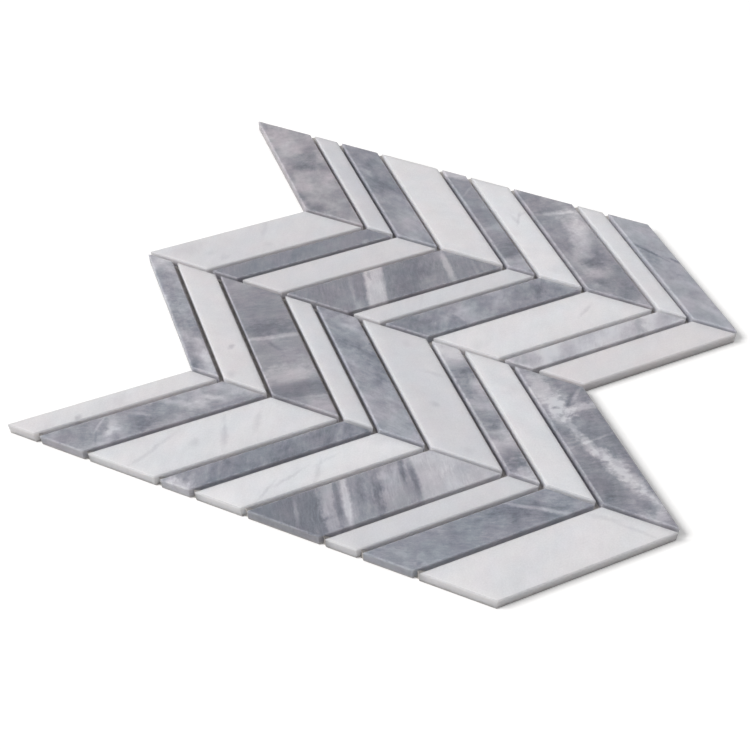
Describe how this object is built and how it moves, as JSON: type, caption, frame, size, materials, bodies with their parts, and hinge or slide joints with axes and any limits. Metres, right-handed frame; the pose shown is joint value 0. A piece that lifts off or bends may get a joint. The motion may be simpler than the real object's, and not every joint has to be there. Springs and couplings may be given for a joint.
{
  "type": "marble mosaic tile",
  "caption": "Chevron mosaic sheet of white and grey honed marble chips on a glass-fibre net, with zigzag ends that interlock.",
  "frame": {"origin": "centre of the sheet's footprint, on the underside of its net", "axes": "+Z out of the honed faces, +X along the chip columns towards one zigzag end, +Y across the columns"},
  "size_m": [0.3626, 0.3028, 0.0078],
  "materials": {
    "white_marble": "honed, matt, faint grey veins",
    "grey_marble": "honed, matt, clouded and veined",
    "glass_fibre_net": "coated glass-fibre scrim with dried glue"
  },
  "bodies": {
    "root": {"chip_a1_grey_wide": "grey_marble", "chip_a2_white_narrow": "white_marble", "chip_a3_grey_medium": "grey_marble", "chip_a4_white_wide": "white_marble", "chip_a5_grey_narrow": "grey_marble", "chip_a6_white_medium": "white_marble", "chip_a7_grey_wide": "grey_marble", "chip_a8_white_narrow": "white_marble", "chip_a9_grey_medium": "grey_marble", "chip_b1_white_wide": "white_marble", "chip_b2_grey_narrow": "grey_marble", "chip_b3_white_medium": "white_marble", "chip_b4_grey_wide": "grey_marble", "chip_b5_white_narrow": "white_marble", "chip_b6_grey_medium": "grey_marble", "chip_b7_white_wide": "white_marble", "chip_b8_grey_narrow": "grey_marble", "chip_b9_white_medium": "white_marble", "chip_c1_grey_narrow": "grey_marble", "chip_c2_white_medium": "white_marble", "chip_c3_grey_wide": "grey_marble", "chip_c4_white_narrow": "white_marble", "chip_c5_grey_medium": "grey_marble", "chip_c6_white_wide": "white_marble", "chip_c7_grey_narrow": "grey_marble", "chip_c8_white_medium": "white_marble", "chip_c9_grey_wide": "grey_marble", "chip_d1_white_narrow": "white_marble", "chip_d2_grey_medium": "grey_marble", "chip_d3_white_wide": "white_marble", "chip_d4_grey_narrow": "grey_marble", "chip_d5_white_medium": "white_marble", "chip_d6_grey_wide": "grey_marble", "chip_d7_white_narrow": "white_marble", "chip_d8_grey_medium": "grey_marble", "chip_d9_white_wide": "white_marble", "net_cross_yarns": "glass_fibre_net", "net_long_yarns": "glass_fibre_net"}
  },
  "joints": []
}
